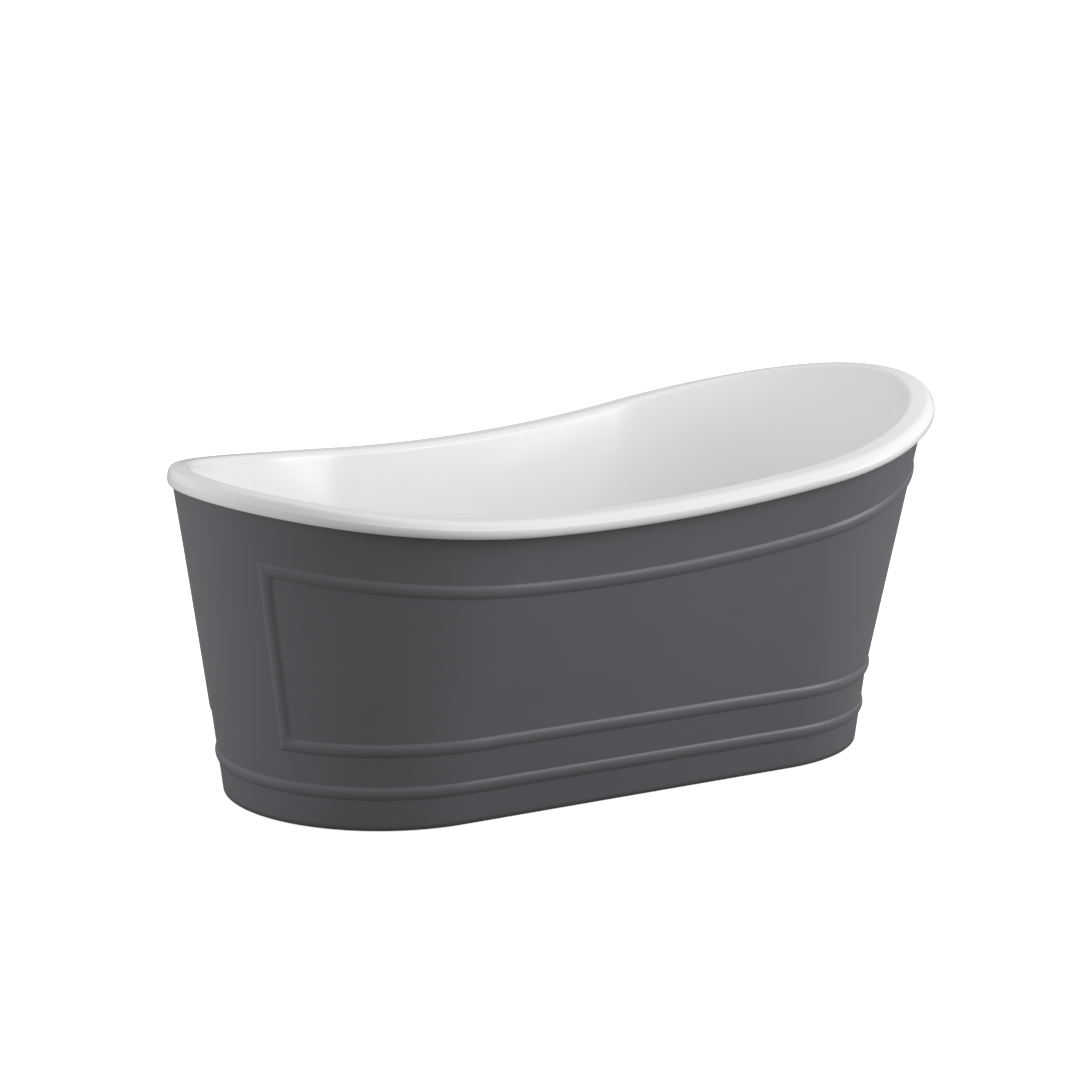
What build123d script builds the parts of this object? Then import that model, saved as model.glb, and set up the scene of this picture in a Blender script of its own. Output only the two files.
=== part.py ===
from build123d import *
import math
import os

os.makedirs("parts", exist_ok=True)

# Freestanding slipper bath: a white inner tub with a rolled rim, bonded into a painted outer skirt,
# standing on a steel frame with four screw levellers, with a press-to-close waste and an overflow.
# Units are millimetres. +X is the high head end, -Y the near side, +Z up.
# The origin is on the floor, under the middle of the bath's overall length and width.
# Lengthwise places are given from the middle of the base, which base_middle then shifts.

# Driving dimensions of the outside
plinth_height = 154.0       # the skirt flares more above this level at the head end
outline_top = 800.0         # level of the two top outlines, above every part of the rim
rim_overhang = 23.0         # how far the rim stands proud of the skirt
rim_low = 604.0             # rim crest at its lowest point
rim_low_x = -140.0
swoop_radius = 3680.0       # the rim's side profile is one arc of this radius
rim_drop = 35.0             # height of the rim's outer lip
skirt_wall = 5.0
tub_wall = 6.0
floor_gap = 2.0             # the skirt clears the floor by this much

# Outlines as [reach to foot end, reach to head end, half width, straight to foot, straight to head]
skirt_at_floor = [700.0, 700.0, 325.0, 380.0, 377.0]
skirt_at_plinth = [720.0, 712.0, 354.0, 350.0, 382.0]
skirt_at_top = [820.0, 861.0, 445.0, 226.0, 400.0]
basin_at_floor = [620.0, 420.0, 290.0, 350.0, 150.0]
basin_at_top = [797.0, 851.0, 414.0, 224.0, 434.0]

# Beads moulded in the skirt
bead_width = 25.0
bead_height = 6.5
band_bead_level = 78.0      # all round, just above the floor
panel_bead_level = 165.0    # lower edge of the panel
panel_bead_drop = 141.0     # upper edge of the panel, below the rim crest
panel_foot_bottom_y = 169.0  # the panel's edges at the foot end, this far each side of the middle
panel_foot_top_y = 182.0
panel_foot_top_level = 510.0

# Driving dimensions of the inside
basin_floor = 165.0         # top of the tub's floor
floor_wall = 8.0
basin_fillet = 110.0        # radius between the tub's floor and walls
seal_thickness = 6.0        # foam strip between the skirt's top edge and the rim
seal_drop = 8.0             # top of that strip, below the rim crest
seal_overlap = 4.0          # the strip is this much wider than the skirt's edge on each side

# Frame
board_thickness = 15.0
board_foot_x = -500.0
board_head_x = 300.0
board_width = 340.0
board_corner = 70.0
rail_size = 30.0
rail_wall = 2.5
long_rail_y = 135.0
long_rail_inset = 10.0
cross_rail_x = {"foot": -320.0, "middle": -40.0, "head": 240.0}
cross_rail_length = 570.0
notch_radius = 55.0         # opening in the board round the waste
board_screw_x = [-440.0, -180.0, 100.0, 270.0]
sides = {"near": -1, "far": 1}

# Fixing of the skirt to the frame
block_inner_y = 305.0
block_depth = 60.0          # before it is cut to the curve of the skirt
block_half_length = 30.0
block_low = 50.0
block_high = 120.0
bracket_half_width = 20.0
bracket_thickness = 3.0
bracket_low = 58.0
bracket_reach = 17.0        # from the rail screw to the inner end of the bracket
bracket_screw_y = 267.0
bracket_screw_level = 70.0

# Feet
stud_radius = 6.0
stud_bottom = 14.0
stud_length = 112.0
running_gap = 0.05
foot_reach = 235.0          # the feet stand this far each side of the middle
pad_radius = 30.0
sole_height = 4.0

# Waste and overflow
waste_x = -450.0
waste_hole_radius = 26.0
flange_radius = 35.0
flange_tube_radius = 22.4
tail_radius = 23.9
tail_bottom = 62.0
inlet_level = 118.0
inlet_reach = 75.0
plug_travel = 9.0
stem_radius = 4.5
overflow_level = 520.0
overflow_hole_radius = 21.0
pipe_radius = 12.0
pipe_wall = 2.0
pipe_offset = 25.0          # the pipe runs this far behind the tub's inside face
pipe_bend = 60.0

# Worked-out values
base_middle = -24.5         # puts the origin under the middle of the overall length
board_top = basin_floor - floor_wall
board_bottom = board_top - board_thickness
long_rail_bottom = board_bottom - rail_size
cross_rail_bottom = long_rail_bottom - rail_size
flange_seal_top = basin_floor + 2.0
flange_top = flange_seal_top + 3.0
cap_bottom = flange_top + plug_travel + 2.2
big = 3000.0                # larger than the bath, for cutting


def at(x, y, z):
    """Place given from the middle of the base."""
    return Pos(base_middle + x, y, z)


def ring(outer, inner, low, high):
    """Washer or tube about the Z axis between two levels."""
    length = high - low
    return Pos(0, 0, low + length / 2) * (Cylinder(outer, length) - Cylinder(inner, length))


def rod(radius, low, high):
    return Pos(0, 0, (low + high) / 2) * Cylinder(radius, high - low)


def hexagon(across_flats, low, high):
    return Pos(0, 0, low) * extrude(RegularPolygon(across_flats / 2, 6, major_radius=False), high - low)


def block(low_x, high_x, low_y, high_y, low_z, high_z):
    """Box between two corners, lengthwise from the middle of the base."""
    middle = at((low_x + high_x) / 2, (low_y + high_y) / 2, (low_z + high_z) / 2)
    return middle * Box(high_x - low_x, high_y - low_y, high_z - low_z)


def solid_of(shape):
    """The largest solid of a boolean result."""
    return max(shape.solids(), key=lambda piece: piece.volume)


def save(name, shape):
    export_step(shape, f"parts/{name}.step")


def save_group(name, pieces):
    """One node that holds several separate, identical pieces."""
    save(name, Compound(children=[solid_of(piece) for piece in pieces]))


# Outer forms


def mix(low, high, share):
    """Values a share of the way from the list low to the list high."""
    return [a + (b - a) * share for a, b in zip(low, high)]


def oval(level, sizes, grow):
    """Closed outline at one level: two straight sides joined by half-ellipse ends, grown in plan."""
    foot, head, half_width, foot_straight, head_straight = sizes
    half = half_width + grow
    head_end = Pos(head_straight, 0)
    foot_end = Pos(-foot_straight, 0)
    head_radius = head - head_straight + grow
    foot_radius = foot - foot_straight + grow
    edges = [
        Line((-foot_straight, -half), (head_straight, -half)),
        head_end * EllipticalCenterArc((0, 0), head_radius, half, start_angle=-90, arc_size=90),
        head_end * EllipticalCenterArc((0, 0), head_radius, half, start_angle=0, arc_size=90),
        Line((head_straight, half), (-foot_straight, half)),
        foot_end * EllipticalCenterArc((0, 0), foot_radius, half, start_angle=90, arc_size=90),
        foot_end * EllipticalCenterArc((0, 0), foot_radius, half, start_angle=180, arc_size=90),
    ]
    return at(0, 0, level) * Wire(edges)


def skirt_sizes(level):
    if level < plinth_height:
        return mix(skirt_at_floor, skirt_at_plinth, level / plinth_height)
    return mix(skirt_at_plinth, skirt_at_top, (level - plinth_height) / (outline_top - plinth_height))


def skirt_form(grow):
    """Solid of the skirt's outside, grown in plan, from below the floor to above the rim."""
    levels = (-20.0, plinth_height, outline_top)
    return Solid.make_loft([oval(level, skirt_sizes(level), grow) for level in levels], ruled=True)


def basin_share(level):
    return (level - basin_floor) / (outline_top - basin_floor)


def basin_form(grow, floor):
    """Solid of the tub's inside, grown in plan, down to a floor that meets the walls in a round fillet."""
    wires = []
    radius = basin_fillet + grow
    for turn in (0, 18, 36, 54, 72, 90):
        level = floor + radius * (1 - math.cos(math.radians(turn)))
        inset = radius * (1 - math.sin(math.radians(turn)))
        wires.append(oval(level, mix(basin_at_floor, basin_at_top, basin_share(level)), grow - inset))
    wires.append(oval(outline_top, basin_at_top, grow))
    return Solid.make_loft(wires, ruled=True)


def swoop(x):
    """Height of the rim crest at a place along the bath, from the middle of the base."""
    return rim_low + swoop_radius - math.sqrt(swoop_radius**2 - (x - rim_low_x) ** 2)


def above_swoop(drop):
    """Everything above the rim's side profile lowered by a drop."""
    return at(rim_low_x, 0, rim_low + swoop_radius - drop) * Rot(90, 0, 0) * Cylinder(swoop_radius, big)


def below_swoop(solid, drop):
    """The part of a solid that lies below the rim's side profile lowered by a drop."""
    return solid_of(solid - above_swoop(drop))


def swoop_slab(solid, upper_drop, lower_drop):
    """The part of a solid between two lowered copies of the rim's side profile."""
    return solid_of(below_swoop(solid, upper_drop) & above_swoop(lower_drop))


# Shells


def panel_space(grow):
    """Space the panel covers, grown outwards: above a level, under the swoop, open at the foot end."""
    low = panel_bead_level - grow
    space = at(0, 0, low + big / 2) * Box(big, big, big) - above_swoop(panel_bead_drop - grow)
    slope = (panel_foot_top_y - panel_foot_bottom_y) / (panel_foot_top_level - panel_bead_level)
    low_y = panel_foot_bottom_y - grow - slope * panel_bead_level
    high_y = low_y + slope * outline_top
    gap = Polygon((-low_y, 0), (low_y, 0), (high_y, outline_top), (-high_y, outline_top), align=None)
    return space - extrude(Plane.YZ * gap, -big)


def outer_skirt():
    """Moulded skirt with its beads, open at the top and the bottom."""
    proud = skirt_form(bead_height)
    band = proud & at(0, 0, band_bead_level) * Box(big, big, bead_width)
    frame = panel_space(bead_width / 2) - panel_space(-bead_width / 2)
    panel = proud & frame
    skirt = below_swoop(skirt_form(0) + band + panel, seal_drop + seal_thickness)
    skirt = skirt - at(0, 0, floor_gap - 100) * Box(big, big, 200)
    return solid_of(skirt - skirt_form(-skirt_wall))


def overflow_place():
    """Frame on the tub's inside foot wall: Z out of the wall into the basin, X down the wall."""
    reach = mix(basin_at_floor, basin_at_top, basin_share(overflow_level))[0]
    rise = outline_top - basin_floor
    lean = math.degrees(math.atan2(basin_at_top[0] - basin_at_floor[0], rise))
    return at(-reach, 0, overflow_level) * Rot(0, 90 - lean, 0)


def inner_tub():
    """Inner tub with its rim and overhanging lip, and holes for the waste and the overflow."""
    rim = swoop_slab(skirt_form(rim_overhang), 0, rim_drop)
    pocket = swoop_slab(skirt_form(rim_overhang - tub_wall), seal_drop, rim_drop + 20)
    shell = below_swoop(basin_form(tub_wall, board_top), 0)
    tub = (rim - pocket) + shell
    tub = tub - basin_form(0, basin_floor)
    tub = tub - at(waste_x, 0, basin_floor) * Cylinder(waste_hole_radius, 60)
    tub = tub - overflow_place() * Cylinder(overflow_hole_radius, 60)
    return solid_of(tub)


def rim_seal():
    """Foam strip bedded between the skirt's top edge and the underside of the rim."""
    strip = swoop_slab(skirt_form(seal_overlap), seal_drop, seal_drop + seal_thickness)
    return solid_of(strip - skirt_form(-skirt_wall - seal_overlap))


# Frame under the tub


def base_board():
    """Plywood board laminated to the underside of the tub, notched round the waste."""
    length = board_head_x - board_foot_x
    middle_x = (board_foot_x + board_head_x) / 2
    outline = RectangleRounded(length, board_width, board_corner)
    board = at(middle_x, 0, board_bottom) * extrude(outline, board_thickness)
    board = board - at(waste_x, 0, board_top) * Cylinder(notch_radius, 60)
    board = board - block(board_foot_x - 10, waste_x, -notch_radius, notch_radius, 100, 200)
    return solid_of(board - Compound(children=board_screws()))


def square_tube(length):
    inside = rail_size - 2 * rail_wall
    return Box(length, rail_size, rail_size) - Box(length, inside, inside)


def long_rail(side):
    length = board_head_x - board_foot_x - 2 * long_rail_inset
    middle_x = (board_foot_x + board_head_x) / 2
    rail = at(middle_x, side * long_rail_y, long_rail_bottom + rail_size / 2) * square_tube(length)
    return solid_of(rail - Compound(children=board_screws() + cross_rail_screws()))


def cross_rail(name):
    x = cross_rail_x[name]
    rail = at(x, 0, cross_rail_bottom + rail_size / 2) * Rot(0, 0, 90) * square_tube(cross_rail_length)
    rail = rail - Compound(children=cross_rail_screws() + rail_bracket_screws())
    if name != "middle":
        for side in sides.values():
            rail = rail - at(x, side * foot_reach, cross_rail_bottom) * Cylinder(stud_radius + 0.5, 80)
    return solid_of(rail)


def screw(radius, length, head_radius, head_height):
    """Pan-head screw along Z: the underside of its head at 0, the shank up, the head below."""
    return solid_of(rod(radius, 0, length) + rod(head_radius, -head_height, 0))


def board_screws():
    """Wood screws up through the long rails into the board."""
    shape = screw(2.5, rail_size + 10, 5, 3)
    places = [(x, side * long_rail_y) for x in board_screw_x for side in sides.values()]
    return [at(x, y, long_rail_bottom) * shape for x, y in places]


def cross_rail_screws():
    """Screws up through the cross rails into the long rails."""
    shape = screw(3, rail_size + 6, 6, 4)
    places = [(x, side * long_rail_y) for x in cross_rail_x.values() for side in sides.values()]
    return [at(x, y, cross_rail_bottom) * shape for x, y in places]


def rail_end_caps():
    """Plastic plugs in the open ends of every rail."""
    inside = rail_size - 2 * rail_wall
    cap = solid_of(Pos(0, 0, 1) * Box(rail_size, rail_size, 2) + Pos(0, 0, -7) * Box(inside, inside, 14))
    caps = []
    middle = long_rail_bottom + rail_size / 2
    for side in sides.values():
        caps.append(at(board_foot_x + long_rail_inset, side * long_rail_y, middle) * Rot(0, -90, 0) * cap)
        caps.append(at(board_head_x - long_rail_inset, side * long_rail_y, middle) * Rot(0, 90, 0) * cap)
        for x in cross_rail_x.values():
            end = at(x, side * cross_rail_length / 2, cross_rail_bottom + rail_size / 2)
            caps.append(end * Rot(-side * 90, 0, 0) * cap)
    return caps


# Fixing of the skirt to the frame


def skirt_block(name, side):
    """Timber block bonded to the inside of the skirt."""
    low_x = cross_rail_x[name] - block_half_length
    high_x = cross_rail_x[name] + block_half_length
    near, far = sorted((side * block_inner_y, side * (block_inner_y + block_depth)))
    timber = block(low_x, high_x, near, far, block_low, block_high) & skirt_form(-skirt_wall)
    return solid_of(timber - Compound(children=block_screws()))


def skirt_bracket(name, side):
    """Bent steel angle from the top of a cross rail to a skirt block."""
    low_x = cross_rail_x[name] - bracket_half_width
    high_x = cross_rail_x[name] + bracket_half_width
    level = cross_rail_bottom + rail_size
    top = level + bracket_thickness
    near, far = sorted((side * (bracket_screw_y - bracket_reach), side * block_inner_y))
    flat = block(low_x, high_x, near, far, level, top)
    near, far = sorted((side * (block_inner_y - bracket_thickness), side * block_inner_y))
    upright = block(low_x, high_x, near, far, bracket_low, top)
    return solid_of(flat + upright - Compound(children=block_screws() + rail_bracket_screws()))


def feet_places():
    return [(cross_rail_x[name], side) for name in ("foot", "head") for side in sides.values()]


def block_screws():
    """Wood screws through the brackets into the skirt blocks."""
    shape = screw(2, 18, 4, 2.5)
    face = block_inner_y - bracket_thickness
    return [
        at(x, side * face, bracket_screw_level) * Rot(-side * 90, 0, 0) * shape
        for x, side in feet_places()
    ]


def rail_bracket_screws():
    """Screws down through the brackets into the cross rails."""
    shape = screw(3, 12, 6, 4)
    top = cross_rail_bottom + rail_size + bracket_thickness
    return [at(x, side * bracket_screw_y, top) * Rot(180, 0, 0) * shape for x, side in feet_places()]


# Feet


def foot_nuts():
    """A weld nut and a lock nut under the frame at each foot."""
    nuts = []
    for x, side in feet_places():
        place = at(x, side * foot_reach, cross_rail_bottom)
        bore = rod(stud_radius + running_gap, -30, 5)
        nuts.append(place * (hexagon(19, -10, 0) - bore))
        nuts.append(place * (hexagon(19, -20, -12) - bore))
    return nuts


def leveller_stud(x, side):
    """Threaded stud with a hexagon for the spanner, turning in the pad's socket."""
    place = at(x, side * foot_reach, 0)
    shaft = rod(stud_radius, stud_bottom, stud_bottom + stud_length)
    return solid_of(place * (shaft + hexagon(17, 34, 42)))


def leveller_pad(x, side):
    """Plastic foot with a socket for the end of the stud."""
    place = at(x, side * foot_reach, 0)
    disc = rod(pad_radius, sole_height, sole_height + 6)
    cone = Pos(0, 0, sole_height + 6 + 7) * Cone(pad_radius - 2, 12, 14)
    hub = rod(12, 24, 33)
    socket = rod(stud_radius + running_gap, stud_bottom - 0.05, 60)
    return solid_of(place * (disc + cone + hub - socket))


def leveller_sole(x, side):
    """Rubber sole bonded under the pad."""
    return solid_of(at(x, side * foot_reach, 0) * rod(pad_radius - 2, 0, sole_height))


# Waste


def waste_flange():
    """Chrome flange with a screw-in tube and a three-armed bridge for the cartridge."""
    flange = ring(flange_radius, 20, flange_seal_top, flange_top)
    tube = ring(flange_tube_radius, 20, 134, flange_top)
    bridge = rod(8, 138, 143)
    for turn in (0, 120, 240):
        bridge = bridge + Rot(0, 0, turn) * Pos(11, 0, 140.5) * Box(20, 3, 5)
    body = flange + tube + bridge - rod(6.05, 130, 150)
    return solid_of(at(waste_x, 0, 0) * body)


def waste_body():
    """Plastic body under the floor: collar, side inlet for the overflow, threaded tail."""
    collar = rod(36, board_top - 8, board_top - 3)
    barrel = rod(27, 100, board_top - 3)
    tail = rod(tail_radius, tail_bottom, 110)
    side = Pos(-inlet_reach / 2, 0, inlet_level) * Rot(0, 90, 0)
    inlet = side * Cylinder(pipe_radius, inlet_reach)
    inlet_bore = side * Cylinder(pipe_radius - pipe_wall, inlet_reach + 5)
    bore = rod(20, tail_bottom - 5, 140) + rod(flange_tube_radius + 0.1, 133.5, board_top + 5)
    return solid_of(at(waste_x, 0, 0) * (collar + barrel + tail + inlet - bore - inlet_bore))


def waste_seals():
    """Rubber rings that seal the flange to the tub, one above the floor and one below."""
    upper = ring(flange_radius - 1, flange_tube_radius + 0.1, basin_floor, flange_seal_top)
    lower = ring(flange_radius, flange_tube_radius + 2, board_top - 3, board_top)
    return solid_of(at(waste_x, 0, 0) * upper), solid_of(at(waste_x, 0, 0) * lower)


def waste_cartridge():
    """Latch cartridge screwed into the flange's bridge; the plug's stem slides in it."""
    sleeve = ring(6, stem_radius + running_gap, 128, 152)
    collar = ring(8, stem_radius + running_gap, 143, 147)
    return solid_of(at(waste_x, 0, 0) * (sleeve + collar))



def plug_cap():
    """Chrome plug with a slightly domed top."""
    dome = Pos(0, 0, cap_bottom + 4.5) * Cone(31, 27, 3)
    return solid_of(at(waste_x, 0, 0) * (rod(31, cap_bottom, cap_bottom + 3) + dome))


def plug_seal():
    return solid_of(at(waste_x, 0, 0) * ring(28, 22, cap_bottom - 2, cap_bottom))


def plug_stem():
    return solid_of(at(waste_x, 0, 0) * rod(stem_radius, 126, cap_bottom))


def plug_spring():
    """Coil spring between the cartridge and the plug, as a plain sleeve of its size."""
    return solid_of(at(waste_x, 0, 0) * ring(7.5, 6.3, 152, cap_bottom - 0.5))


# Overflow


def overflow_cover():
    """Chrome face with a slot at its lower edge, and a neck through the tub wall."""
    face = ring(33, 16, 2, 6) + ring(33, 30, 2, 14) + Pos(0, 0, 15.5) * Cone(33, 29, 3)
    neck = ring(overflow_hole_radius - 1, 16, -14, 6)
    slot = Pos(34, 0, 9) * Box(20, 36, 6)
    return solid_of(overflow_place() * (face + neck - slot))


def overflow_seals():
    """Rubber rings moulded to the curved wall, one in front of it and one behind."""
    front = overflow_place() * ring(32, overflow_hole_radius, -3, 2) & basin_form(0, basin_floor)
    back = overflow_place() * ring(32, overflow_hole_radius, -9.3, -2) - basin_form(tub_wall, board_top)
    return solid_of(front), solid_of(back)


def overflow_body():
    """Plastic chamber behind the wall, with a spigot down to the pipe."""
    collar = ring(32, overflow_hole_radius - 0.95, -13.3, -9.3)
    chamber = ring(24, overflow_hole_radius - 0.95, -36, -11) + rod(24, -38, -36)
    spigot = Pos(32, 0, -pipe_offset) * Rot(0, 90, 0) * Cylinder(pipe_radius, 56)
    bore = Pos(32, 0, -pipe_offset) * Rot(0, 90, 0) * Cylinder(pipe_radius - pipe_wall, 60)
    inside = rod(overflow_hole_radius - 0.95, -36, -8)
    return solid_of(overflow_place() * (collar + chamber + spigot - inside - bore))


def pipe_ends():
    """Upper end, bend corner and lower end of the pipe's centre line."""
    place = overflow_place()
    upper = (place * Pos(60, 0, -pipe_offset)).position
    further = (place * Pos(160, 0, -pipe_offset)).position
    down = (further - upper).normalized()
    corner = upper + down * ((inlet_level - upper.Z) / down.Z)
    lower = at(waste_x - inlet_reach, 0, inlet_level).position
    return upper, corner, lower


def overflow_pipe():
    """Pipe down behind the foot wall, then level to the waste."""
    upper, corner, lower = pipe_ends()
    line = FilletPolyline(upper, corner, lower, radius=pipe_bend)
    start = Plane(origin=upper, z_dir=corner - upper)
    return solid_of(sweep(start * (Circle(pipe_radius) - Circle(pipe_radius - pipe_wall)), path=line))


def pipe_nut():
    return hexagon(33, -12, 12) - rod(pipe_radius + 0.05, -15, 15)


def pipe_nuts():
    upper, corner, lower = pipe_ends()
    top = overflow_place() * Pos(60, 0, -pipe_offset) * Rot(0, 90, 0) * pipe_nut()
    bottom = Pos(lower.X, 0, lower.Z) * Rot(0, 90, 0) * pipe_nut()
    return solid_of(top), solid_of(bottom)


# Pieces

save("outer_skirt", outer_skirt())
save("inner_tub", inner_tub())
save("rim_seal", rim_seal())
save("base_board", base_board())
save_group("board_screws", board_screws())
save_group("cross_rail_screws", cross_rail_screws())
save_group("bracket_block_screws", block_screws())
save_group("bracket_rail_screws", rail_bracket_screws())
save_group("rail_end_caps", rail_end_caps())
save_group("foot_nuts", foot_nuts())
for side_name, side in sides.items():
    save(f"long_rail_{side_name}", long_rail(side))
    for end in ("foot", "head"):
        place = f"{side_name}_{end}"
        save(f"skirt_block_{place}", skirt_block(end, side))
        save(f"skirt_bracket_{place}", skirt_bracket(end, side))
        save(f"leveller_stud_{place}", leveller_stud(cross_rail_x[end], side))
        save(f"leveller_pad_{place}", leveller_pad(cross_rail_x[end], side))
        save(f"leveller_sole_{place}", leveller_sole(cross_rail_x[end], side))
for end in cross_rail_x:
    save(f"cross_rail_{end}", cross_rail(end))
save("waste_flange", waste_flange())
save("waste_body", waste_body())
save("waste_seal_upper", waste_seals()[0])
save("waste_seal_lower", waste_seals()[1])
save("waste_cartridge", waste_cartridge())
save("plug_cap", plug_cap())
save("plug_seal", plug_seal())
save("plug_stem", plug_stem())
save("plug_spring", plug_spring())
save("overflow_cover", overflow_cover())
save("overflow_seal_front", overflow_seals()[0])
save("overflow_seal_back", overflow_seals()[1])
save("overflow_body", overflow_body())
save("overflow_pipe", overflow_pipe())
save("pipe_nut_upper", pipe_nuts()[0])
save("pipe_nut_lower", pipe_nuts()[1])
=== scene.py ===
import math

import bpy
import numpy as np
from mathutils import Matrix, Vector


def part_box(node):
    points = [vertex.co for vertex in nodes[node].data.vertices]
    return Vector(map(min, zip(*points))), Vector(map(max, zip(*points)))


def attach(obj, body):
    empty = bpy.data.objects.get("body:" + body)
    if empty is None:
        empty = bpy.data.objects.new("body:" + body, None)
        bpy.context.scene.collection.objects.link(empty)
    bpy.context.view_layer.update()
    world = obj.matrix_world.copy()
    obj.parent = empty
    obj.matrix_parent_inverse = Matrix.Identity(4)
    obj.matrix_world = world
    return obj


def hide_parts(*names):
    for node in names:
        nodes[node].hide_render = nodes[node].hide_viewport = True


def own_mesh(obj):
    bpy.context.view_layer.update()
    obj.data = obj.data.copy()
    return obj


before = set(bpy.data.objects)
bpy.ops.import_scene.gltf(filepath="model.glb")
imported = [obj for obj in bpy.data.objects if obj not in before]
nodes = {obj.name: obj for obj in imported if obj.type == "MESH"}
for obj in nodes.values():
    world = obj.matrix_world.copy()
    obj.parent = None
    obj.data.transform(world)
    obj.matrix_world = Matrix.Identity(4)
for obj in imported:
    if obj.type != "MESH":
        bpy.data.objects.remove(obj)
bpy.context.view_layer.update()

# ---------------------------------------------------------------------------------------------
# Outer skirt
# One tall oval ring, moulded in glass-fibre laminate and spray-painted a satin charcoal grey.
# Half-round beads stand out of it: one all round above the floor, and a panel frame that starts
# near the low foot end on each side and runs on round the high head end.
# ---------------------------------------------------------------------------------------------

base_middle, plinth_level, outline_top = -0.0245, 0.154, 0.800
# Outlines as: reach to foot end, reach to head end, half width, straight towards foot, towards head
skirt_at_floor = np.array([0.700, 0.700, 0.325, 0.380, 0.377])
skirt_at_plinth = np.array([0.720, 0.712, 0.354, 0.350, 0.382])
skirt_at_top = np.array([0.820, 0.861, 0.445, 0.226, 0.400])
# Share of each quarter of an outline's turn that its elliptical end takes up
arc_part = 0.72
# The rim's crest is read at the rim's outer edge, and its outline at rim_reference below the crest
rim_low, rim_low_x, swoop_radius = 0.604, -0.140, 3.680
rim_overhang, rim_reference = 0.0275, 0.033
skirt_wall, skirt_foot_level, skirt_top_drop = 0.005, 0.002, 0.014
bead_half, bead_height = 0.0125, 0.0050
# Rows are close together across a bead and a little past its foot
bead_rows, bead_span = 18, bead_half * np.array([-1.15, 1.15])
band_bead_level, panel_bead_level, panel_bead_drop = 0.078, 0.165, 0.141
# Distance of the panel's foot edge from the middle plane, at its lower bead and higher up. It is only
# looked for round the low end, footwards of panel_foot_x
panel_foot_bottom_y, panel_foot_top_y, panel_foot_top_level = 0.169, 0.182, 0.510
panel_foot_x, panel_foot_slant = -0.35, 1.13
panel_corner_radius, panel_foot_turn = 0.022, 0.206


def swoop(x):
    """Height of the rim crest: one arc in side view, whose lowest point is at rim_low_x."""
    return rim_low + swoop_radius - np.sqrt(swoop_radius**2 - (x - base_middle - rim_low_x) ** 2)


def sizes_between(level, low_level, low, high_level, high):
    """The five outline sizes at each level, in straight proportion between two outlines."""
    share = (level - low_level) / (high_level - low_level)
    column = (5,) + (1,) * share.ndim
    return low.reshape(column) + (high - low).reshape(column) * share


def skirt_sizes(level):
    """Straight walls in two stretches, below and above the plinth."""
    lower = sizes_between(level, 0.0, skirt_at_floor, plinth_level, skirt_at_plinth)
    upper = sizes_between(level, plinth_level, skirt_at_plinth, outline_top, skirt_at_top)
    return np.where(level < plinth_level, lower, upper)


def oval(turn, sizes, grow=0.0):
    """Outline of straight sides and half-ellipse ends, grown in plan.
    turn runs 0 to 4, a quarter from each end to the middle of a side: from the head end to the far
    side, to the foot end, to the near side and back. In a quarter the first arc_part is the ellipse,
    at an even angle, and the rest is the straight side."""
    foot, head, half, foot_straight, head_straight = sizes
    quarter = np.floor(turn).astype(int) % 4
    along = turn - np.floor(turn)
    from_end = np.where(quarter % 2 == 0, along, 1.0 - along)
    at_head = (quarter == 0) | (quarter == 3)
    side = np.where(quarter < 2, 1.0, -1.0)
    reach = np.where(at_head, head, foot)
    straight = np.where(at_head, head_straight, foot_straight)
    angle = np.clip(from_end / arc_part, 0, 1) * np.pi / 2
    left = np.clip((1 - from_end) / (1 - arc_part), 0, 1)
    x = straight * left + (reach - straight + grow) * np.cos(angle)
    y = (half + grow) * np.sin(angle)
    return base_middle + np.where(at_head, x, -x), side * y


def even_turns(count, dense_spots=(), dense_width=0.05, dense_gain=6.0):
    """count turns from 0 to just under 4, closer together near the dense spots: the running total of a
    density that is 1 plus a bell of dense_gain at each spot, read at even steps."""
    fine = np.linspace(0, 4, 4001)
    density = np.ones_like(fine)
    for spot in dense_spots:
        density += dense_gain * np.exp(-(((fine - spot) / dense_width) ** 2))
    total = np.concatenate([[0], np.cumsum((density[1:] + density[:-1]) / 2)])
    return np.interp(np.linspace(0, total[-1], count + 1), total, fine)[:-1]


def crest_at(turns):
    """Rim crest height at each turn: the swoop over the rim's outer edge, whose place depends on the
    height in turn, so it is stepped to a fixed point."""
    level = np.full(len(turns), rim_low)
    for _ in range(8):
        level = swoop(oval(turns, skirt_sizes(level - rim_reference), rim_overhang)[0])
    return level


def mesh_object(name, points, faces, lids=(), smooth=True):
    """A mesh from vertex rows, quad rows and flat lids, with its object at the origin."""
    mesh = bpy.data.meshes.new(name)
    mesh.vertices.add(len(points))
    mesh.vertices.foreach_set("co", np.asarray(points, np.float32).ravel())
    corners = np.concatenate([faces.ravel(), *lids]).astype(np.int32)
    counts = np.array([faces.shape[1]] * len(faces) + [len(lid) for lid in lids], np.int32)
    mesh.loops.add(len(corners))
    mesh.loops.foreach_set("vertex_index", corners)
    mesh.polygons.add(len(counts))
    mesh.polygons.foreach_set("loop_start", np.concatenate([[0], np.cumsum(counts)[:-1]]).astype(np.int32))
    mesh.polygons.foreach_set("use_smooth", np.arange(len(counts)) < (len(faces) if smooth else 0))
    mesh.update()
    mesh.validate()
    piece = bpy.data.objects.new(name, mesh)
    bpy.context.scene.collection.objects.link(piece)
    return piece


def ring_faces(rows, columns, closed_rows=False):
    """Quads of a grid that wraps round in columns, and in rows too when it is a closed tube."""
    last = rows if closed_rows else rows - 1
    row, column = np.meshgrid(np.arange(last), np.arange(columns), indexing="ij")
    below, above = row * columns, (row + 1) % rows * columns
    right = (column + 1) % columns
    return np.stack([below + column, below + right, above + right, above + column], -1).reshape(-1, 4)


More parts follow.
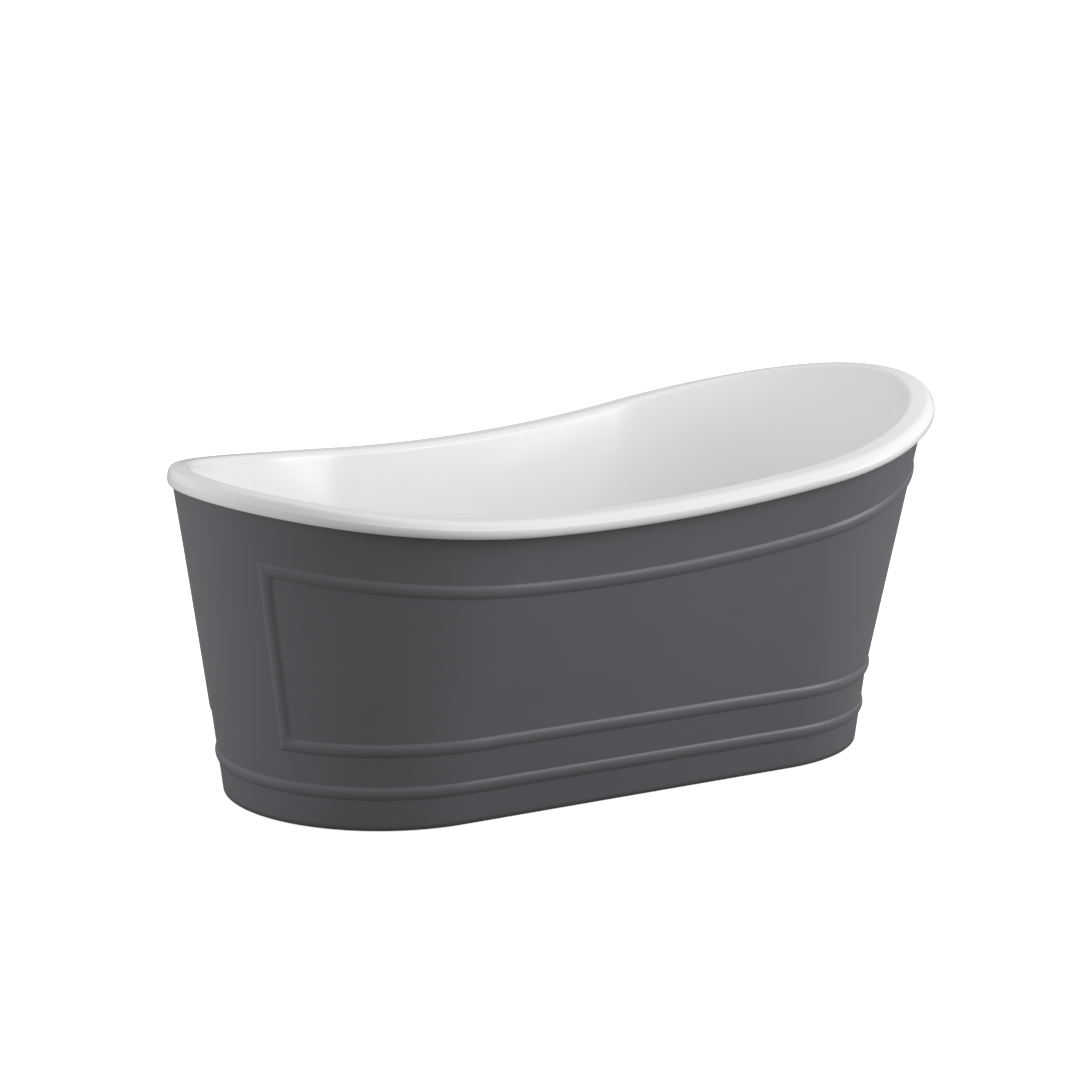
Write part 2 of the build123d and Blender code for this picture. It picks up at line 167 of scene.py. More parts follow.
def half_round(distance):
    """Height of a bead at a distance from its middle line: bead_height times the three-quarter power of
    one less the square of the share of its half width."""
    across = np.clip(np.abs(distance) / bead_half, 0, 1)
    return bead_height * (1 - across**2) ** 0.75


def panel_inset(x, y, z, panel_top):
    """Distance inside the panel frame's line: the least of the distances to its lower, upper and foot
    edges, with the corners rounded on the inside only. The distance to the foot edge is its distance in y
    times panel_foot_slant, because the wall runs round at a slant there."""
    climb = (z - panel_bead_level) / (panel_foot_top_level - panel_bead_level)
    foot_y = panel_foot_bottom_y + (panel_foot_top_y - panel_foot_bottom_y) * climb
    foot_edge = np.where(x < panel_foot_x, (np.abs(y) - foot_y) * panel_foot_slant, 1.0)
    level_edge = np.minimum(z - panel_bead_level, panel_top - z)
    sharp = np.minimum(foot_edge, level_edge)
    corner = [np.clip(panel_corner_radius - edge, 0, None) for edge in (foot_edge, level_edge)]
    round_inset = panel_corner_radius - np.hypot(*corner)
    share = np.clip(sharp / bead_half, 0, 1)
    return np.where(sharp < panel_corner_radius, sharp * (1 - share) + round_inset * share, sharp)


def skirt_levels(crest, panel_top):
    """Levels of the skirt's rows at each turn: fixed below the panel's lower bead, hung from the panel's
    top across its upper bead, and even from there to the rim, with close rows across every bead."""
    def steps(low, high, count):
        return np.linspace(low, high, count, endpoint=False)

    band = band_bead_level + bead_span
    low_bead = panel_bead_level + bead_span
    fixed = np.concatenate([
        steps(skirt_foot_level, band[0], 6), steps(*band, bead_rows),
        steps(band[1], low_bead[0], 6), steps(*low_bead, bead_rows)])
    climb = panel_top + bead_span[0] - low_bead[1]
    rest = crest - skirt_top_drop - panel_top - bead_span[1]
    return np.concatenate([
        np.repeat(fixed[:, None], len(crest), 1),
        low_bead[1] + climb * steps(0, 1, 22)[:, None],
        panel_top + steps(*bead_span, bead_rows)[:, None],
        panel_top + bead_span[1] + rest * np.linspace(0, 1, 12)[:, None]])


def outward(points):
    """Level unit vector out of a wall whose rows run round: across the step from column to column."""
    step = np.roll(points, -1, 1) - np.roll(points, 1, 1)
    normal = np.stack([step[..., 1], -step[..., 0], np.zeros_like(step[..., 0])], -1)
    return normal / np.linalg.norm(normal, axis=-1, keepdims=True)


def skirt_grid(turns, levels, grow):
    """Points of the skirt's wall at each turn and level, with its outline grown in plan."""
    x, y = oval(turns, skirt_sizes(levels), grow)
    return np.stack([x, y, levels], -1)


# Finishes: each is one Principled shader whose colour, roughness and bump vary by a shared effect


def socket(group, name, way, kind, value=None):
    """One input or output of a node group, with its value when nothing is linked to it."""
    made = group.interface.new_socket(name=name, in_out=way, socket_type="NodeSocket" + kind)
    if value is not None:
        made.default_value = value


def speckle_effect():
    """Shared effect: smooth noise in object space, stretched along an axis, sharpened to a 0 to 1 mask,
    and the same mask as a mix of two colours and as a value between two ends."""
    group = bpy.data.node_groups.new("speckle", "ShaderNodeTree")
    socket(group, "Scale", "INPUT", "Float", 20.0)
    socket(group, "Stretch", "INPUT", "Vector", (1.0, 1.0, 1.0))
    socket(group, "Sharpness", "INPUT", "Float", 0.5)
    socket(group, "First colour", "INPUT", "Color")
    socket(group, "Second colour", "INPUT", "Color")
    socket(group, "Low", "INPUT", "Float", 0.3)
    socket(group, "High", "INPUT", "Float", 0.5)
    socket(group, "Colour", "OUTPUT", "Color")
    socket(group, "Value", "OUTPUT", "Float")
    socket(group, "Mask", "OUTPUT", "Float")
    add, link = group.nodes.new, group.links.new
    given, result = add("NodeGroupInput"), add("NodeGroupOutput")
    place, stretch = add("ShaderNodeTexCoord"), add("ShaderNodeVectorMath")
    noise, edge = add("ShaderNodeTexNoise"), add("ShaderNodeMapRange")
    span = add("ShaderNodeMath")
    blend, spread = add("ShaderNodeMix"), add("ShaderNodeMapRange")
    # A Mix node has these for colours, after the ones for values and vectors
    blend_first, blend_second, blended = blend.inputs[6], blend.inputs[7], blend.outputs[2]
    stretch.operation = "MULTIPLY"
    noise.inputs["Detail"].default_value = 5.0
    span.operation = "SUBTRACT"
    span.inputs[0].default_value = 1.0
    blend.data_type = "RGBA"
    link(place.outputs["Object"], stretch.inputs[0])
    link(given.outputs["Stretch"], stretch.inputs[1])
    link(stretch.outputs[0], noise.inputs["Vector"])
    link(given.outputs["Scale"], noise.inputs["Scale"])
    link(noise.outputs["Fac"], edge.inputs["Value"])
    link(given.outputs["Sharpness"], span.inputs[1])
    link(given.outputs["Sharpness"], edge.inputs["From Min"])
    link(span.outputs[0], edge.inputs["From Max"])
    link(edge.outputs["Result"], blend.inputs["Factor"])
    link(given.outputs["First colour"], blend_first)
    link(given.outputs["Second colour"], blend_second)
    link(edge.outputs["Result"], spread.inputs["Value"])
    link(given.outputs["Low"], spread.inputs["To Min"])
    link(given.outputs["High"], spread.inputs["To Max"])
    link(blended, result.inputs["Colour"])
    link(spread.outputs["Result"], result.inputs["Value"])
    link(edge.outputs["Result"], result.inputs["Mask"])
    return group


speckle = speckle_effect()


def finish(name, colours, scale, roughness, bump,
           stretch=(1, 1, 1), sharpness=0.3, bump_scale=None, **shader_values):
    """A material: speckle sets its colour between two colours and its roughness between two values, and
    a finer speckle, bump metres high, roughens it. shader_values are other sockets of the shader."""
    material = bpy.data.materials.new(name)
    material.use_nodes = True
    tree = material.node_tree
    shader = tree.nodes["Principled BSDF"]
    for words, value in shader_values.items():
        shader.inputs[words.replace("_", " ").title()].default_value = value
    broad, fine = tree.nodes.new("ShaderNodeGroup"), tree.nodes.new("ShaderNodeGroup")
    relief = tree.nodes.new("ShaderNodeBump")
    for node, size in ((broad, scale), (fine, bump_scale or scale * 8)):
        node.node_tree = speckle
        node.inputs["Scale"].default_value = size
        node.inputs["Stretch"].default_value = stretch
        node.inputs["Sharpness"].default_value = sharpness
        node.inputs["First colour"].default_value = (*colours[0], 1)
        node.inputs["Second colour"].default_value = (*colours[1], 1)
        node.inputs["Low"].default_value, node.inputs["High"].default_value = roughness
    relief.inputs["Strength"].default_value = 1.0
    relief.inputs["Distance"].default_value = bump
    tree.links.new(broad.outputs["Colour"], shader.inputs["Base Color"])
    tree.links.new(broad.outputs["Value"], shader.inputs["Roughness"])
    tree.links.new(fine.outputs["Mask"], relief.inputs["Height"])
    tree.links.new(relief.outputs["Normal"], shader.inputs["Normal"])
    return material


satin_paint = finish(
    "satin_grey_paint", ((0.136, 0.133, 0.147), (0.142, 0.139, 0.153)), 7, (0.38, 0.44), 0.00002,
    bump_scale=260, sharpness=0.25)
laminate = finish(
    "glass_laminate", ((0.50, 0.49, 0.44), (0.62, 0.61, 0.56)), 60, (0.45, 0.7), 0.0006,
    stretch=(1, 1, 0.6), sharpness=0.38, bump_scale=220)

skirt_turns = even_turns(
    560, (2 - panel_foot_turn, 2 + panel_foot_turn), dense_width=0.045, dense_gain=7.0)
skirt_crest = crest_at(skirt_turns)
panel_edge_x = oval(skirt_turns, skirt_sizes(skirt_crest - panel_bead_drop), rim_overhang)[0]
panel_top = swoop(panel_edge_x) - panel_bead_drop
wall_levels = skirt_levels(skirt_crest, panel_top)
skirt_outside = skirt_grid(skirt_turns, wall_levels, 0.0)
out_x, out_y, out_z = np.moveaxis(skirt_outside, -1, 0)
relief_height = np.maximum(
    half_round(out_z - band_bead_level), half_round(panel_inset(out_x, out_y, out_z, panel_top)))
skirt_outside = skirt_outside + outward(skirt_outside) * relief_height[..., None]
# The inside has no beads, so every fourth row is enough for it
skirt_inside = skirt_grid(skirt_turns, wall_levels[::-4], -skirt_wall)
skirt_inside = np.concatenate([skirt_inside, skirt_grid(skirt_turns, wall_levels[:1], -skirt_wall)])
skirt_rows = np.concatenate([skirt_outside, skirt_inside])
skirt_faces = ring_faces(len(skirt_rows), len(skirt_turns), closed_rows=True)
skirt = mesh_object("skirt", skirt_rows.reshape(-1, 3), skirt_faces)
skirt.data.materials.append(satin_paint)
skirt.data.materials.append(laminate)
inside_from = len(skirt_outside) * len(skirt_turns)
is_inside = np.arange(len(skirt.data.polygons)) >= inside_from
skirt.data.polygons.foreach_set("material_index", is_inside.astype(np.int32))
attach(skirt, "tub")
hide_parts("outer_skirt")

# ---------------------------------------------------------------------------------------------
# Inner tub
# One sheet of gloss white acrylic, vacuum-formed over a mould and backed with glass-fibre laminate.
# Its rim is flat on top, falls away to a crisp edge, and turns under in a rounded lip that hides
# the skirt's top edge. The floor has a hole for the waste.
# ---------------------------------------------------------------------------------------------

basin_at_floor = np.array([0.620, 0.420, 0.290, 0.350, 0.150])
basin_at_top = np.array([0.797, 0.851, 0.414, 0.224, 0.434])
basin_floor, basin_fillet = 0.165, 0.110
# The back of the wall starts this far below the foot of the inner roll
tub_wall, floor_wall, back_wall_drop = 0.006, 0.008, 0.012
waste_middle = np.array([base_middle - 0.450, 0.0])
waste_hole_radius = 0.026
# The floor rises this much over this distance from the waste
floor_fall, fall_length = 0.006, 0.8

# Rim section: distance out of the skirt's outline, and depth below the crest
roll_middle, roll_half_width, roll_depth = -0.024, 0.015, 0.018
brow_start, brow_reach, brow_depth, brow_power = 0.0005, 0.025, 0.0146, 2.4
foot_overhang_share, head_overhang_share = 0.36, 0.80
overhang_from, overhang_over = 25, 55
# The lip from the brow's edge, round underneath and in to the back of the tub's wall
lip_section = np.array([
    [0.0253, 0.0148], [0.0258, 0.0152], [0.0262, 0.0160], [0.0267, 0.0178], [0.0271, 0.0205],
    [0.0271, 0.0235], [0.0264, 0.0268], [0.0249, 0.0298], [0.0226, 0.0322], [0.0198, 0.0336],
    [0.0168, 0.0340], [0.0144, 0.0335], [0.0126, 0.0322], [0.0110, 0.0290], [0.0100, 0.0200],
    [0.0094, 0.0120], [0.0075, 0.0088], [0.0030, 0.0080], [-0.0140, 0.0080], [-0.0220, 0.0092],
    [-0.0285, 0.0130]])

tub_turns = even_turns(520)
tub_crest = crest_at(tub_turns)


def overhang_share(turns):
    """Share of the full overhang: least round the foot end, a little less than full round the head end,
    full along the sides. Between, it takes a smooth step over overhang_over degrees of the angle round
    each end."""
    from_foot = np.clip(np.abs(turns - 2) / arc_part, 0, 1) * 90
    from_head = np.clip(np.minimum(turns, 4 - turns) / arc_part, 0, 1) * 90
    rise_foot, rise_head = (
        np.clip((angle - overhang_from) / overhang_over, 0, 1) for angle in (from_foot, from_head))
    foot, head = (rise**2 * (3 - 2 * rise) for rise in (rise_foot, rise_head))
    return 1 - (1 - foot_overhang_share) * (1 - foot) - (1 - head_overhang_share) * (1 - head)


def rim_points(out, drop):
    """Points over the skirt's outline at the rim's reference level: out of it by out, and below the
    crest by drop."""
    share = np.where(out > 0, overhang_share(tub_turns), 1.0)
    x, y = oval(tub_turns, skirt_sizes(tub_crest - rim_reference), out * share)
    return np.stack([x, y, tub_crest - drop + 0 * x], -1)


def basin_points(levels, grow):
    """Points of the basin's straight wall, whose outline grows evenly from floor to top."""
    sizes = sizes_between(levels, basin_floor, basin_at_floor, outline_top, basin_at_top)
    x, y = oval(tub_turns, sizes, grow)
    return np.stack([x, y, levels + 0 * x], -1)


def wall_lean(level):
    """How far the basin's wall moves outwards per metre of height, at each turn."""
    step = 0.04
    high, low = basin_points(level, 0.0), basin_points(level - step, 0.0)
    return np.linalg.norm(high[..., :2] - low[..., :2], axis=-1) / step


# The inner roll is a quarter of an ellipse, cut where it is as steep as the wall, so they meet smoothly
lean = wall_lean(tub_crest - roll_depth)
roll_start = np.arctan(lean * roll_half_width / roll_depth)
roll_angle = roll_start + (np.pi / 2 - roll_start) * np.linspace(0, 1, 12)[:, None]
roll_out = roll_middle - roll_half_width * np.cos(roll_angle)
roll_drop = roll_depth * (1 - np.sin(roll_angle))
join_drop = roll_drop[0]
# The flat top falls a little to the brow, which falls away faster and faster to a crisp edge
flat = np.linspace(0, 1, 6)[1:, None] * np.ones(len(tub_turns))
flat_out, flat_drop = roll_middle * (1 - flat), brow_start * flat**2
brow = np.linspace(0, 1, 15)[1:, None] * np.ones(len(tub_turns))
brow_out, brow_drop = brow_reach * brow, brow_start + (brow_depth - brow_start) * brow**brow_power
lip_out, lip_drop = (lip_section[:, column, None] * np.ones(len(tub_turns)) for column in (0, 1))
rim_rows = rim_points(
    np.concatenate([roll_out, flat_out, brow_out, lip_out]),
    np.concatenate([roll_drop, flat_drop, brow_drop, lip_drop]))

# The wall is drawn to the rim: its miss at the top is shared out by the square of the height
join_level = tub_crest - join_drop
miss = rim_rows[0, :, :2] - basin_points(join_level, 0.0)[..., :2]


def drawn_to_rim(points):
    """Wall points moved level by the miss at the rim, times the square of their share of the height."""
    share = np.clip((points[..., 2] - basin_floor) / (join_level - basin_floor), 0, 1) ** 2
    moved = points.copy()
    moved[..., :2] += miss * share[..., None]
    return moved


def wall_rows(count, grow, top_level):
    """Even rows of the wall from top_level down to the fillet, without the rows at either end."""
    share = np.linspace(1, 0, count)[1:-1, None]
    low_level = basin_floor + basin_fillet
    return drawn_to_rim(basin_points(low_level + (top_level - low_level) * share, grow))


def fillet_rows(count, grow, floor):
    """Round fillet: as the angle falls, the level goes down a quarter circle and the inset grows."""
    angle = np.linspace(np.pi / 2, 0, count)[:, None]
    radius = basin_fillet + grow
    levels = floor + radius * (1 - np.cos(angle)) + 0 * tub_turns
    return drawn_to_rim(basin_points(levels, grow - radius * (1 - np.sin(angle))))


def floor_rows(edge, count):
    """Straight lines from the fillet's edge to the round waste hole, closer together near the hole."""
    away = edge[:, :2] - waste_middle
    hole = waste_middle + waste_hole_radius * away / np.linalg.norm(away, axis=-1, keepdims=True)
    share = np.linspace(1, 0, count)[1:, None, None] ** 1.5
    level = np.full((count - 1, len(edge), 1), edge[0, 2])
    return np.concatenate([hole + (edge[:, :2] - hole) * share, level], -1)


inside_wall, inside_fillet = wall_rows(46, 0.0, join_level), fillet_rows(18, 0.0, basin_floor)
inside_floor = floor_rows(inside_fillet[-1], 26)
outside_wall = wall_rows(18, tub_wall, join_level - back_wall_drop)
outside_fillet = fillet_rows(8, tub_wall, basin_floor - floor_wall)
outside_floor = floor_rows(outside_fillet[-1], 10)
inside = np.concatenate([inside_floor[::-1], inside_fillet[::-1], inside_wall[::-1]])
# The floor falls gently towards the waste
fall = floor_fall * np.clip((inside[..., 0] - waste_middle[0]) / fall_length, 0, 1)
inside[..., 2] += fall * (1 - np.clip((inside[..., 2] - basin_floor) / basin_fillet, 0, 1))
tub_rows = np.concatenate([inside, rim_rows, outside_wall, outside_fillet, outside_floor])[::-1]

acrylic = finish(
    "gloss_white_acrylic", ((0.875, 0.875, 0.875), (0.885, 0.885, 0.885)), 3, (0.24, 0.27), 0.00001,
    bump_scale=14, sharpness=0.2, coat_weight=0.25, coat_roughness=0.10)

tub_faces = ring_faces(len(tub_rows), len(tub_turns), closed_rows=True)
tub = mesh_object("tub_shell", tub_rows.reshape(-1, 3), tub_faces)
tub.data.materials.append(acrylic)
tub.data.materials.append(laminate)
back_rows = len(outside_wall) + len(outside_fillet) + len(outside_floor)
is_back = np.arange(len(tub.data.polygons)) < back_rows * len(tub_turns)
tub.data.polygons.foreach_set("material_index", is_back.astype(np.int32))
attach(tub, "tub")
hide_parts("inner_tub")

# ---------------------------------------------------------------------------------------------
# Rim seal
# A strip of closed-cell foam, bedded between the skirt's top edge and the underside of the rim.
# ---------------------------------------------------------------------------------------------

# Section of the strip: distance out of the skirt's outline, and depth below the crest
foam_section = np.array([
    [-0.0075, 0.0082], [0.0070, 0.0082], [0.0080, 0.0095], [0.0080, 0.0128], [0.0070, 0.0139],
    [-0.0075, 0.0139], [-0.0085, 0.0128], [-0.0085, 0.0095]])
foam = finish(
    "closed_cell_foam", ((0.030, 0.030, 0.032), (0.055, 0.055, 0.058)), 400, (0.8, 0.95), 0.0002)
foam_out, foam_drop = (foam_section[:, column, None] * np.ones(len(tub_turns)) for column in (0, 1))
seal_rows = rim_points(foam_out, foam_drop)[::-1]
seal_faces = ring_faces(len(seal_rows), len(tub_turns), closed_rows=True)
seal = mesh_object("rim_foam", seal_rows.reshape(-1, 3), seal_faces)
seal.data.materials.append(foam)
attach(seal, "tub")
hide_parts("rim_seal")

# ---------------------------------------------------------------------------------------------
# Base board and timber blocks
# A birch plywood board glassed to the tub's underside, and four softwood blocks bonded inside the
# skirt for the bracket screws to bite into.
# ---------------------------------------------------------------------------------------------


def dress(material, *names):
    """Puts a finish on solid parts that keep their own shape."""
    for name in names:
        nodes[name].data.materials.clear()
        nodes[name].data.materials.append(material)


def places(start):
    """The names of the four nodes that start this way, one for each foot of the bath."""
    return [f"{start}_{side}_{end}" for side in ("near", "far") for end in ("foot", "head")]


plywood = finish(
    "birch_plywood", ((0.42, 0.28, 0.15), (0.60, 0.44, 0.27)), 40, (0.55, 0.75), 0.0003,
    stretch=(0.15, 1.0, 12.0), bump_scale=160)
timber = finish(
    "softwood", ((0.45, 0.29, 0.14), (0.66, 0.48, 0.28)), 60, (0.55, 0.75), 0.0003,
    stretch=(0.12, 1.0, 1.0), bump_scale=240)
dress(plywood, "base_board")
dress(timber, *places("skirt_block"))

# ---------------------------------------------------------------------------------------------
# Steel frame
# Two long rails and three cross rails of square tube, powder-coated black, with plastic end plugs.
# Zinc-plated screws and angle brackets hold them to the board and to the skirt's blocks.
# ---------------------------------------------------------------------------------------------

powder_coat = finish(
    "black_powder_coat", ((0.018, 0.018, 0.019), (0.030, 0.030, 0.032)), 90, (0.42, 0.55), 0.00012)
zinc = finish(
    "zinc_plate", ((0.52, 0.53, 0.56), (0.66, 0.67, 0.69)), 130, (0.28, 0.45), 0.00004, metallic=1.0)
yellow_zinc = finish(
    "yellow_zinc_plate", ((0.60, 0.50, 0.28), (0.70, 0.64, 0.50)), 160, (0.3, 0.45), 0.00004, metallic=1.0)
black_plastic = finish(
    "black_moulded_plastic", ((0.020, 0.020, 0.021), (0.032, 0.032, 0.034)), 60, (0.42, 0.56), 0.00008)
dress(powder_coat, "long_rail_near", "long_rail_far")
dress(powder_coat, "cross_rail_foot", "cross_rail_middle", "cross_rail_head")
dress(zinc, *places("skirt_bracket"))
dress(yellow_zinc, "board_screws", "cross_rail_screws", "bracket_block_screws", "bracket_rail_screws")
dress(black_plastic, "rail_end_caps")

# ---------------------------------------------------------------------------------------------
# Screw levellers
# Four zinc-plated M12 studs with rolled threads run in weld nuts under the cross rails. Each ends in
# a ball socket in a black plastic pad with a rubber sole, so the bath can be levelled.
# ---------------------------------------------------------------------------------------------

stud_radius, thread_depth, thread_pitch = 0.006, 0.0009, 0.00175
chamfer_depth, chamfer_length = 0.0008, 0.0015
nut_across, nut_low, nut_high, nut_chamfer = 0.017, 0.034, 0.042, 0.0012
# Radius of a nut's chamfered end face as a share of half its width across flats
nut_face_share = 0.96


def turned_grid(radii, levels, columns):
    """A body of revolution about the Z axis through the origin: one row of points for each radius."""
    angle = np.linspace(0, 2 * np.pi, columns, endpoint=False)
    radii, levels = np.asarray(radii)[:, None], np.asarray(levels)[:, None]
    return np.stack([radii * np.cos(angle), radii * np.sin(angle), levels + 0 * angle], -1)


def lidded(name, grid, smooth=True):
    """A body from a grid whose rows climb, closed by a flat lid at each end."""
    rows, columns = grid.shape[:2]
    first, last = np.arange(columns)[::-1], np.arange(columns) + (rows - 1) * columns
    return mesh_object(name, grid.reshape(-1, 3), ring_faces(rows, columns), (first, last), smooth)


def threaded_rod(low, high, columns=24, rows_a_turn=6):
    """Thread: the radius falls and rises in a triangle wave of level over pitch less the turn's share,
    and a chamfer takes a little more off at both ends."""
    count = int((high - low) / thread_pitch * rows_a_turn)
    grid = turned_grid(np.full(count, stud_radius), np.linspace(low, high, count), columns)
    turn = np.linspace(0, 1, columns, endpoint=False)
    wave = np.abs(((grid[..., 2] - low) / thread_pitch - turn) % 1.0 * 2 - 1)
    end = np.minimum(grid[..., 2] - low, high - grid[..., 2])
    radius = stud_radius - thread_depth * wave - chamfer_depth * np.clip(1 - end / chamfer_length, 0, 1)
    grid[..., :2] *= (radius / stud_radius)[..., None]
    return grid


def hexagon_grid(across_flats, low, high, chamfer):
    """A hexagon with its corners chamfered off to a circle at both ends."""
    angle = np.linspace(0, 2 * np.pi, 36, endpoint=False)
    flat = across_flats / 2 / np.cos((angle + np.pi / 6) % (np.pi / 3) - np.pi / 6)
    levels = [low, low + chamfer, high - chamfer, high]
    face = across_flats / 2 * nut_face_share
    rounds = [face, across_flats, across_flats, face]
    radius = np.minimum(flat, np.array(rounds)[:, None])
    level = np.array(levels)[:, None] + 0 * angle
    return np.stack([radius * np.cos(angle), radius * np.sin(angle), level], -1)


def joined(name, pieces):
    """Several bodies as one mesh."""
    with bpy.context.temp_override(active_object=pieces[0], selected_editable_objects=pieces):
        bpy.ops.object.join()
    pieces[0].name = name
    return pieces[0]


def carried(grid, x, y):
    """A grid made about the Z axis, moved to its place."""
    return grid + np.array([x, y, 0.0])


for node in places("leveller_stud"):
    low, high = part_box(node)
    x, y = (low.x + high.x) / 2, (low.y + high.y) / 2
    rod = lidded("rod", carried(threaded_rod(low.z, high.z), x, y))
    nut_grid = hexagon_grid(nut_across, nut_low, nut_high, nut_chamfer)
    nut = lidded("nut", carried(nut_grid, x, y), smooth=False)
    stud = joined(node.replace("leveller_stud", "threaded_stud"), [rod, nut])
    stud.data.materials.append(zinc)
    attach(stud, node.replace("leveller_stud", "stud"))
    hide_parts(node)

rubber = finish("black_rubber", ((0.018, 0.018, 0.018), (0.032, 0.032, 0.033)), 120, (0.7, 0.85), 0.00015)
dress(black_plastic, *places("leveller_pad"))
dress(rubber, *places("leveller_sole"))
dress(zinc, "foot_nuts")

# ---------------------------------------------------------------------------------------------
# Waste and its plug
# A chromed brass flange screws through the floor into a black plastic body with a threaded tail.
# A sprung plug stands over it and is pressed to close; its stem slides in a brass cartridge.
# ---------------------------------------------------------------------------------------------

chrome = finish(
    "chrome_plate", ((0.78, 0.78, 0.80), (0.84, 0.84, 0.85)), 10, (0.05, 0.09), 0.000005, metallic=1.0)
brass = finish(
    "turned_brass", ((0.62, 0.45, 0.18), (0.74, 0.56, 0.26)), 200, (0.25, 0.4), 0.00003, metallic=1.0)
spring_steel = finish(
    "spring_steel", ((0.45, 0.45, 0.46), (0.58, 0.58, 0.60)), 300, (0.25, 0.38), 0.00002, metallic=1.0)
dress(chrome, "waste_flange", "overflow_cover")
dress(brass, "waste_cartridge", "plug_stem")
dress(black_plastic, "waste_body", "overflow_body")
dress(rubber, "waste_seal_upper", "waste_seal_lower", "plug_seal")
dress(rubber, "overflow_seal_front", "overflow_seal_back")

# The plug's cap: a rolled edge under a shallow dome with a fine turned groove
cap_low, cap_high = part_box("plug_cap")
cap_radius, edge_radius, dome_power = 0.031, 0.0015, 1.2
under_radii = [0.010, 0.024]
groove_radius, groove_width, groove_depth = 0.021, 0.0007, 0.0004
cap_edge = np.linspace(-np.pi / 2, np.pi / 2, 11)
edge_radii = cap_radius - edge_radius + edge_radius * np.cos(cap_edge)
edge_levels = cap_low.z + edge_radius + edge_radius * np.sin(cap_edge)
dome = np.linspace(1, 0, 22)[1:-1]
dome_radii = (cap_radius - edge_radius) * dome
dome_low = cap_low.z + 2 * edge_radius
dome_levels = dome_low + (cap_high.z - dome_low) * np.cos(dome * np.pi / 2) ** dome_power
dome_levels = dome_levels - groove_depth * np.exp(-(((dome_radii - groove_radius) / groove_width) ** 2))
cap_grid = turned_grid(
    np.concatenate([under_radii, edge_radii, dome_radii]),
    np.concatenate([[cap_low.z, cap_low.z], edge_levels, dome_levels]), 72)
cap = lidded("plug_dome", carried(cap_grid, *waste_middle))
cap.data.materials.append(chrome)
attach(cap, "plug")
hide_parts("plug_cap")

# The plug's spring: a round wire along a helix, with its end turns closed up
spring_low, spring_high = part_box("plug_spring")
wire_radius, coil_radius, coil_turns, end_closing = 0.0006, 0.0069, 8, 0.6
along = np.linspace(0, 1, coil_turns * 28)[:, None]
around = np.linspace(0, 2 * np.pi, 10, endpoint=False)
coil_angle = 2 * np.pi * coil_turns * along
pitch_share = along - end_closing * np.sin(2 * np.pi * along) / (2 * np.pi)
coil_rise = (spring_high.z - spring_low.z - 2 * wire_radius) * pitch_share
coil_reach = coil_radius + wire_radius * np.cos(around)
coil_grid = np.stack([
    waste_middle[0] + coil_reach * np.cos(coil_angle),
    waste_middle[1] - coil_reach * np.sin(coil_angle),
    spring_low.z + wire_radius + coil_rise + wire_radius * np.sin(around)], -1)
spring = lidded("plug_coil", coil_grid)
spring.data.materials.append(spring_steel)
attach(spring, "tub")
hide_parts("plug_spring")
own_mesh(spring)

# ---------------------------------------------------------------------------------------------
# Overflow
# A chrome cover on the foot wall takes the water into a plastic chamber behind it, and a white pipe
# brings it down to the waste's side inlet through two hand nuts.
# ---------------------------------------------------------------------------------------------

white_plastic = finish(
    "white_moulded_plastic", ((0.74, 0.74, 0.71), (0.80, 0.80, 0.78)), 40, (0.38, 0.5), 0.00006)
dress(white_plastic, "overflow_pipe", "pipe_nut_upper", "pipe_nut_lower")

# ---------------------------------------------------------------------------------------------
# Studio
# A plain white floor in a bright room, with a large softbox at each end of the bath and one overhead.
# A lamp inside the skirt shows the frame and the feet from below.
# ---------------------------------------------------------------------------------------------

floor_size = 120.0
floor_glow, floor_bounce, room_glow = 0.70, 0.30, 0.54
floor_corners = np.array([[-1, -1, 0], [1, -1, 0], [1, 1, 0], [-1, 1, 0]]) * floor_size
studio_floor = mesh_object("studio_floor", floor_corners, np.array([[0, 1, 2, 3]]), smooth=False)
floor_finish = finish("white_floor", ((0.93, 0.93, 0.93), (0.94, 0.94, 0.94)), 0.4, (0.8, 0.85), 0.0)


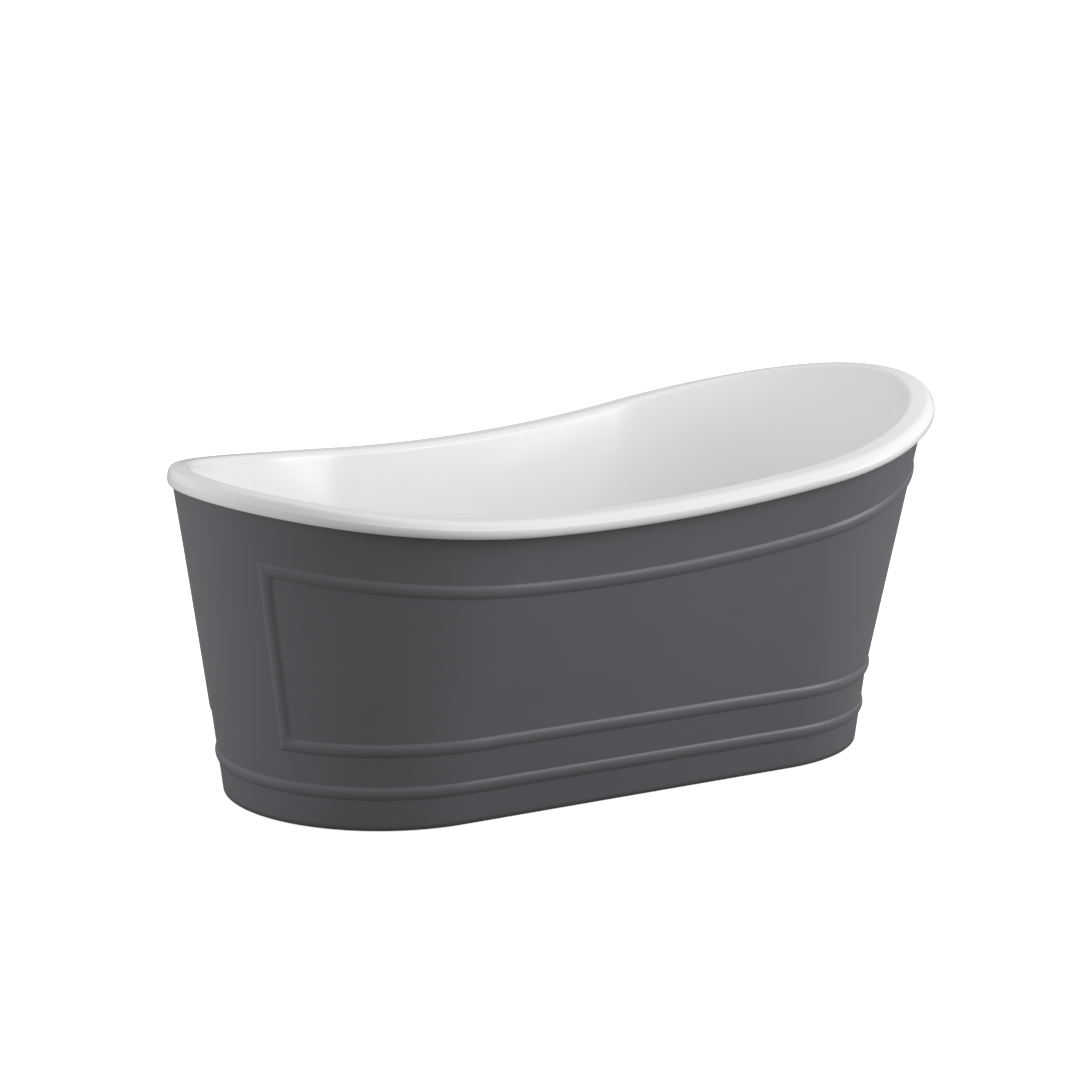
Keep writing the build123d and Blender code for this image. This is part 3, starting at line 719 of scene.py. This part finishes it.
def floor_sides(material):
    """Seen directly the floor is white; in the light that it throws back on the bath it is a mid grey;
    and from below it is clear."""
    add, link = material.node_tree.nodes.new, material.node_tree.links.new
    white, output = (material.node_tree.nodes[name] for name in ("Principled BSDF", "Material Output"))
    grey, clear = add("ShaderNodeBsdfDiffuse"), add("ShaderNodeBsdfTransparent")
    rays, facing = add("ShaderNodeLightPath"), add("ShaderNodeNewGeometry")
    by_ray, by_side = add("ShaderNodeMixShader"), add("ShaderNodeMixShader")
    white.inputs["Emission Color"].default_value = (1, 1, 1, 1)
    white.inputs["Emission Strength"].default_value = floor_glow
    grey.inputs["Color"].default_value = (floor_bounce, floor_bounce, floor_bounce, 1)
    link(rays.outputs["Is Camera Ray"], by_ray.inputs[0])
    link(grey.outputs[0], by_ray.inputs[1])
    link(white.outputs[0], by_ray.inputs[2])
    link(facing.outputs["Backfacing"], by_side.inputs[0])
    link(by_ray.outputs[0], by_side.inputs[1])
    link(clear.outputs[0], by_side.inputs[2])
    link(by_side.outputs[0], output.inputs["Surface"])


floor_sides(floor_finish)
studio_floor.data.materials.append(floor_finish)

room = bpy.data.worlds.new("bright_room")
room.use_nodes = True
room.node_tree.nodes["Background"].inputs["Color"].default_value = (1, 1, 1, 1)
room.node_tree.nodes["Background"].inputs["Strength"].default_value = room_glow
bpy.context.scene.world = room
bpy.context.scene.view_settings.view_transform = "Standard"


def stand_off(thing, target, azimuth, elevation, distance):
    """Puts a lamp or a camera on a sphere round a target, facing it. Azimuth 0 is the near side."""
    turn, climb = math.radians(azimuth), math.radians(elevation)
    back = Vector((math.sin(turn) * math.cos(climb), -math.cos(turn) * math.cos(climb), math.sin(climb)))
    thing.location = target + back * distance
    thing.rotation_mode = "QUATERNION"
    thing.rotation_quaternion = (-back).to_track_quat("-Z", "Y")
    bpy.context.scene.collection.objects.link(thing)


def softbox(name, azimuth, elevation, distance, size, power):
    """An area light facing the middle of the bath."""
    light = bpy.data.lights.new(name, "AREA")
    light.shape = "RECTANGLE"
    light.size, light.size_y = size
    light.energy = power
    lamp = bpy.data.objects.new(name, light)
    stand_off(lamp, Vector((0, 0, 0.40)), azimuth, elevation, distance)
    return lamp


softbox("overhead", 30, 75, 3.2, (3.0, 3.0), 18)
foot_lamp = softbox("foot_side", -112, 4, 3.4, (1.8, 1.1), 34)
softbox("head_side", 48, 24, 4.2, (2.4, 2.6), 84)
# The lamp at the foot end only brightens the skirt; its reflection would put a hard spot on the rim
foot_lamp.visible_glossy = False
# This lamp lies on the floor inside the skirt, facing up
under_lamp = softbox("underneath", 0, -90, 0.398, (1.1, 0.45), 2)
under_lamp.visible_camera = under_lamp.visible_glossy = False

camera = bpy.data.objects.new("camera", bpy.data.cameras.new("camera"))
camera.data.lens, camera.data.sensor_width = 104.9, 36.0
camera.data.shift_x, camera.data.shift_y = 0.0059, 0.0007
stand_off(camera, Vector((base_middle - 0.0343, 0, 0.4587)), -30.125, 12.347, 6.374)
bpy.context.scene.camera = camera
